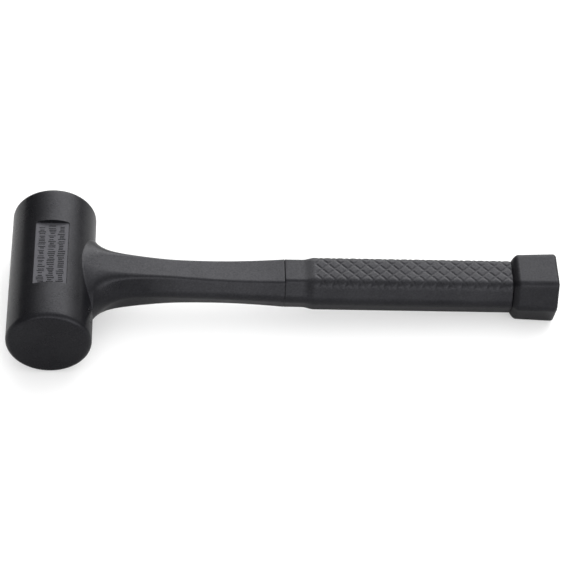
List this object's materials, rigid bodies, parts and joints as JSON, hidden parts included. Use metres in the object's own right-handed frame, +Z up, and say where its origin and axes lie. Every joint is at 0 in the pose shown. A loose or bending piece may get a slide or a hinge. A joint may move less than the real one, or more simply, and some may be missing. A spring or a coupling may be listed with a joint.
{
  "type": "dead blow mallet",
  "caption": "Moulded dead blow mallet with a barrel-shaped head, a flared neck, a knurled six-sided grip and a flared end cap, over a canister of loose steel shot.",
  "frame": {"origin": "middle of the mallet's length and of its head's length, level with the lowest line of the barrel as it lies on its side", "axes": "+X along the handle from the head to the end cap, Y along the barrel with the near striking face at -Y, +Z up on the side of the label recess"},
  "size_m": [0.2926, 0.0926, 0.045],
  "materials": {
    "jacket_urethane": "satin charcoal cast urethane",
    "grip_urethane": "satin charcoal cast urethane, knurled",
    "spacer_urethane": "matte urethane",
    "plain_steel": "drawn steel",
    "plated_steel": "zinc plated steel",
    "shot_steel": "plain steel balls and spring steel"
  },
  "bodies": {
    "mallet": {"head_jacket": "jacket_urethane", "grip_sleeve": "grip_urethane", "end_cap": "jacket_urethane", "canister_tube": "plain_steel", "canister_end_near": "plated_steel", "canister_end_far": "plated_steel", "centring_studs": "spacer_urethane", "core_socket": "plain_steel", "core_rod": "plated_steel", "spring_pin": "shot_steel", "rod_collars": "spacer_urethane", "tail_washer": "plated_steel", "tail_nut": "plated_steel"},
    "shot_charge": {"steel_shot": "shot_steel"}
  },
  "joints": [
    {"name": "shot_slide", "type": "slide", "parent": "mallet", "child": "shot_charge", "axis": [0, 1, 0], "range_m": [0, 0.0304]}
  ]
}
